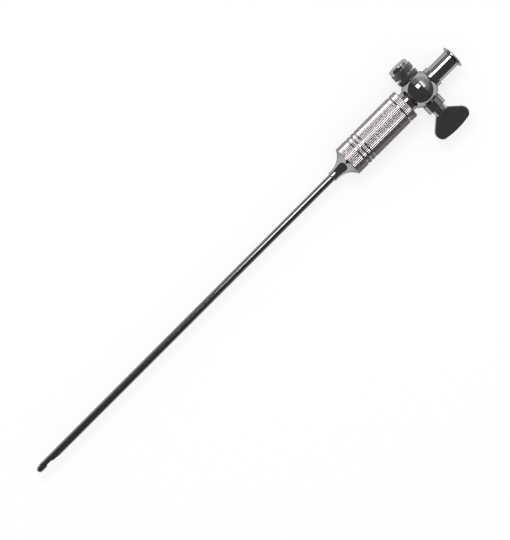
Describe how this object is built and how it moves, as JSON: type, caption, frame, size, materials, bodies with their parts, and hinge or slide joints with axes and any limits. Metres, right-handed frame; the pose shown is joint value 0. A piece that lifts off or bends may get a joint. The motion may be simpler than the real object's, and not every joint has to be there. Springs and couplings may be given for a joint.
{
  "type": "veress needle",
  "caption": "Spring-loaded insufflation needle: bevelled cannula on a knurled barrel, blunt sliding stylet, stopcock with wing and luer lock socket.",
  "frame": {"origin": "centre of the hub's nose on the needle's axis, where the bare cannula ends", "axes": "+X along the needle's axis from the tip towards the luer socket, -Y to the stopcock's wing, +Y to its cap nut, +Z normal to the flat wing"},
  "size_m": [0.1697, 0.0256, 0.0106],
  "materials": {
    "tube_steel": "fine ground stainless tube",
    "polished_steel": "mirror polished, chrome plated",
    "knurled_steel": "straight knurled, chrome plated",
    "spring_steel": "drawn spring wire",
    "seal_rubber": "black silicone rubber",
    "bearing_plastic": "white fluoropolymer"
  },
  "bodies": {
    "handle": {"cannula_tube": "tube_steel", "cannula_hub": "polished_steel", "stylet_seal": "seal_rubber", "buffer_washer": "seal_rubber", "barrel_sleeve": "knurled_steel", "rear_cap": "knurled_steel", "guide_bush": "bearing_plastic"},
    "spring_group": {"return_spring": "spring_steel", "spring_seat": "bearing_plastic"},
    "stylet": {"stylet_tip": "polished_steel", "stylet_tube": "tube_steel", "stylet_ferrule": "polished_steel", "ferrule_gasket": "seal_rubber", "slide_stem": "polished_steel", "stopcock_body": "polished_steel", "luer_connector": "polished_steel"},
    "cock": {"cock_plug": "polished_steel", "wing_handle": "polished_steel", "serrated_washer": "knurled_steel", "spring_washer": "spring_steel", "cap_nut": "knurled_steel"}
  },
  "joints": [
    {"name": "stylet_turn", "type": "hinge", "parent": "handle", "child": "spring_group", "pos_m": [0, 0, 0], "axis": [1, 0, 0], "continuous": true},
    {"name": "stylet_slide", "type": "slide", "parent": "spring_group", "child": "stylet", "axis": [1, 0, 0], "range_m": [0, 0.004], "stiffness_N_per_m": 216, "springref_m": -0.005, "deforming": ["return_spring"]},
    {"name": "cock_turn", "type": "hinge", "parent": "stylet", "child": "cock", "pos_m": [0.0358, 0, 0], "axis": [0, 1, 0], "continuous": true}
  ]
}
